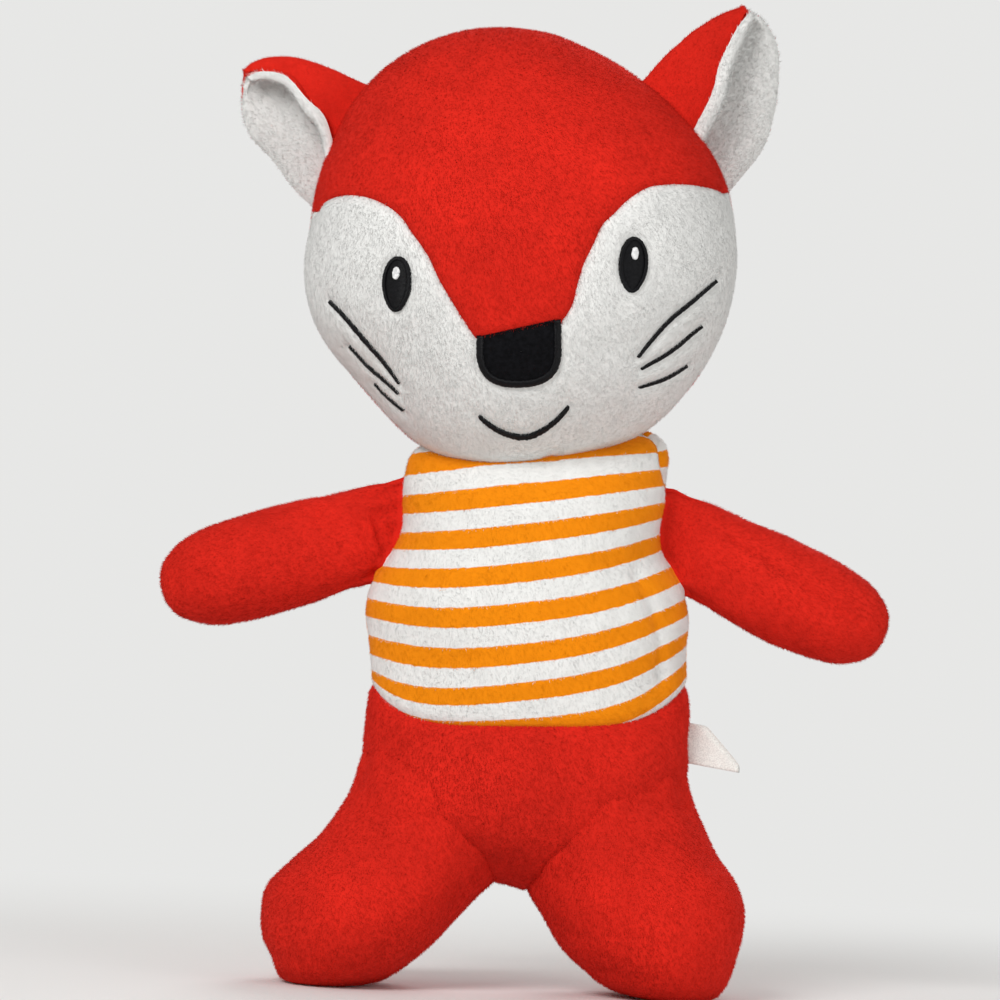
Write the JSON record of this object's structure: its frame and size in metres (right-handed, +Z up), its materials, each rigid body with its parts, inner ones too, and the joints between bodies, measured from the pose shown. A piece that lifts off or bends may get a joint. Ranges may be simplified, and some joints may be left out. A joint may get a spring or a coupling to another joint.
{
  "type": "plush fox",
  "caption": "Stuffed fox toy in a striped shirt: panelled plush skin over stuffing, embroidered face, folded ears, sewn-on arms and legs that flex at their seams.",
  "frame": {"origin": "on the floor under the middle of the whole fox, between its soles", "axes": "+Z up from the soles to the ears, -Y the way the face looks, +X to the viewer's right"},
  "size_m": [0.3293, 0.152, 0.4486],
  "materials": {
    "red_plush": "short-pile plush, brushed",
    "white_plush": "short-pile plush, brushed",
    "shirt_plush": "short-pile plush printed with orange stripes on white",
    "black_velvet": "flat black velvet",
    "black_thread": "satin-stitched polyester thread",
    "white_thread": "satin-stitched polyester thread",
    "stuffing": "polyester fibre fill",
    "label_tape": "woven ribbon, blank"
  },
  "bodies": {
    "torso": {"torso_stuffing": "stuffing", "shirt_front": "shirt_plush", "shirt_back": "shirt_plush", "pants_front": "red_plush", "pants_back": "red_plush"},
    "neck": {"neck_stuffing": "stuffing"},
    "head": {"head_stuffing": "stuffing", "crown_panel": "red_plush", "face_panel": "white_plush", "head_back_panel": "red_plush", "nose_patch": "black_velvet", "nose_border": "black_thread", "mouth_line": "black_thread", "left_eye": "black_thread", "left_eye_highlight": "white_thread", "right_eye": "black_thread", "right_eye_highlight": "white_thread", "left_whisker_lower": "black_thread", "left_whisker_middle": "black_thread", "left_whisker_upper": "black_thread", "right_whisker_lower": "black_thread", "right_whisker_middle": "black_thread", "right_whisker_upper": "black_thread"},
    "label": {"care_label": "label_tape"},
    "left_ear": {"left_ear_back": "red_plush", "left_ear_lining": "white_plush"},
    "left_arm": {"left_arm_stuffing": "stuffing", "left_arm_front_panel": "red_plush", "left_arm_back_panel": "red_plush"},
    "left_leg": {"left_leg_stuffing": "stuffing", "left_leg_front_panel": "red_plush", "left_leg_back_panel": "red_plush"},
    "right_ear": {"right_ear_back": "red_plush", "right_ear_lining": "white_plush"},
    "right_arm": {"right_arm_stuffing": "stuffing", "right_arm_front_panel": "red_plush", "right_arm_back_panel": "red_plush"},
    "right_leg": {"right_leg_stuffing": "stuffing", "right_leg_front_panel": "red_plush", "right_leg_back_panel": "red_plush"}
  },
  "joints": [
    {"name": "head_turn", "type": "hinge", "parent": "torso", "child": "neck", "pos_m": [-0.0025, 0.007, 0.242], "axis": [0, 0, 1], "range_deg": [-15, 15], "stiffness_Nm_per_rad": 3},
    {"name": "head_nod", "type": "hinge", "parent": "neck", "child": "head", "pos_m": [-0.0025, 0.007, 0.242], "axis": [1, 0, 0], "range_deg": [-10, 10], "stiffness_Nm_per_rad": 3},
    {"name": "left_ear_bend", "type": "hinge", "parent": "head", "child": "left_ear", "pos_m": [-0.0915, 0.006, 0.37696], "axis": [0.5446, 0, 0.8387], "range_deg": [-20, 20], "stiffness_Nm_per_rad": 0.2},
    {"name": "right_ear_bend", "type": "hinge", "parent": "head", "child": "right_ear", "pos_m": [0.06651, 0.006, 0.38899], "axis": [0.9135, 0, -0.4067], "range_deg": [-20, 20], "stiffness_Nm_per_rad": 0.2},
    {"name": "left_arm_swing", "type": "hinge", "parent": "torso", "child": "left_arm", "pos_m": [-0.05753, 0.004, 0.20608], "axis": [0.225, 0, 0.9744], "range_deg": [-40, 40], "stiffness_Nm_per_rad": 0.6},
    {"name": "right_arm_swing", "type": "hinge", "parent": "torso", "child": "right_arm", "pos_m": [0.0655, 0.004, 0.2069], "axis": [0.0523, 0, 0.9986], "range_deg": [-40, 40], "stiffness_Nm_per_rad": 0.6},
    {"name": "left_leg_swing", "type": "hinge", "parent": "torso", "child": "left_leg", "pos_m": [-0.01896, 0.004, 0.08665], "axis": [0.8324, 0, -0.5541], "range_deg": [-15, 15], "stiffness_Nm_per_rad": 12},
    {"name": "right_leg_swing", "type": "hinge", "parent": "torso", "child": "right_leg", "pos_m": [0.02796, 0.004, 0.08665], "axis": [0.8324, 0, 0.5541], "range_deg": [-15, 15], "stiffness_Nm_per_rad": 12},
    {"name": "label_flap", "type": "hinge", "parent": "torso", "child": "label", "pos_m": [0.078, 0.004, 0.11465], "axis": [0, 0, 1], "range_deg": [-40, 40], "stiffness_Nm_per_rad": 0.001}
  ]
}
